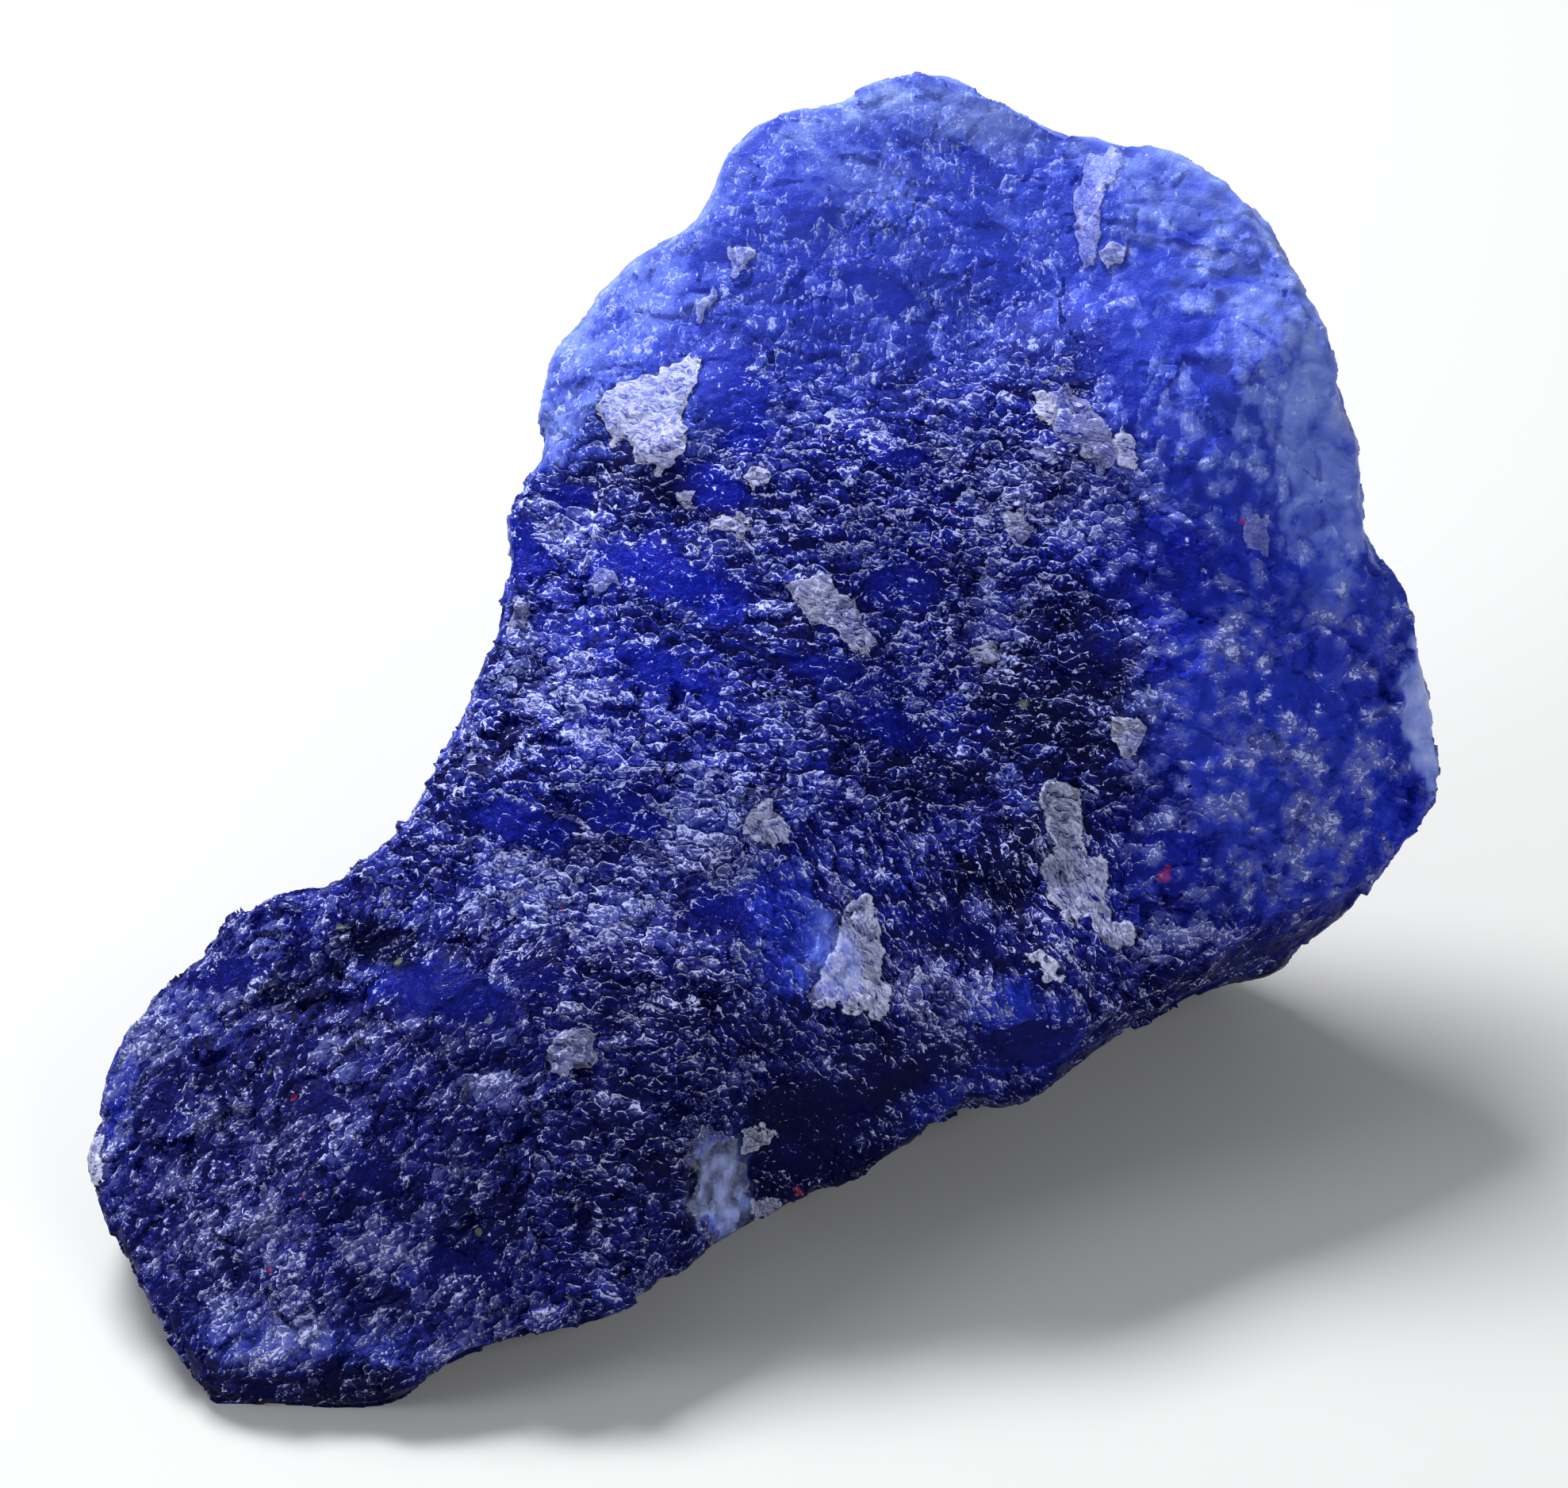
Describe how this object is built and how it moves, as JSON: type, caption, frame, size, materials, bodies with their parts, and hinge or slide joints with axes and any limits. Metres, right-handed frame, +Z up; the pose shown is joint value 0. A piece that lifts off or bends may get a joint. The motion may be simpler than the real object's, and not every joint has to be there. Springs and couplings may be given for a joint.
{
  "type": "rough sapphire",
  "caption": "Rough sapphire: one broken lump of granular blue corundum crystal that stands on its own flat break.",
  "frame": {"origin": "middle of the stone's box, on the level of the flat break that it stands on", "axes": "+Z up; +X along the stone's longest side, from the toe to the heel; the broad face looks towards -Y and up"},
  "size_m": [0.0856, 0.0633, 0.0607],
  "materials": {
    "sapphire": "granular broken crystal, glassy on its grains"
  },
  "bodies": {
    "root": {"sapphire": "sapphire"}
  },
  "joints": []
}
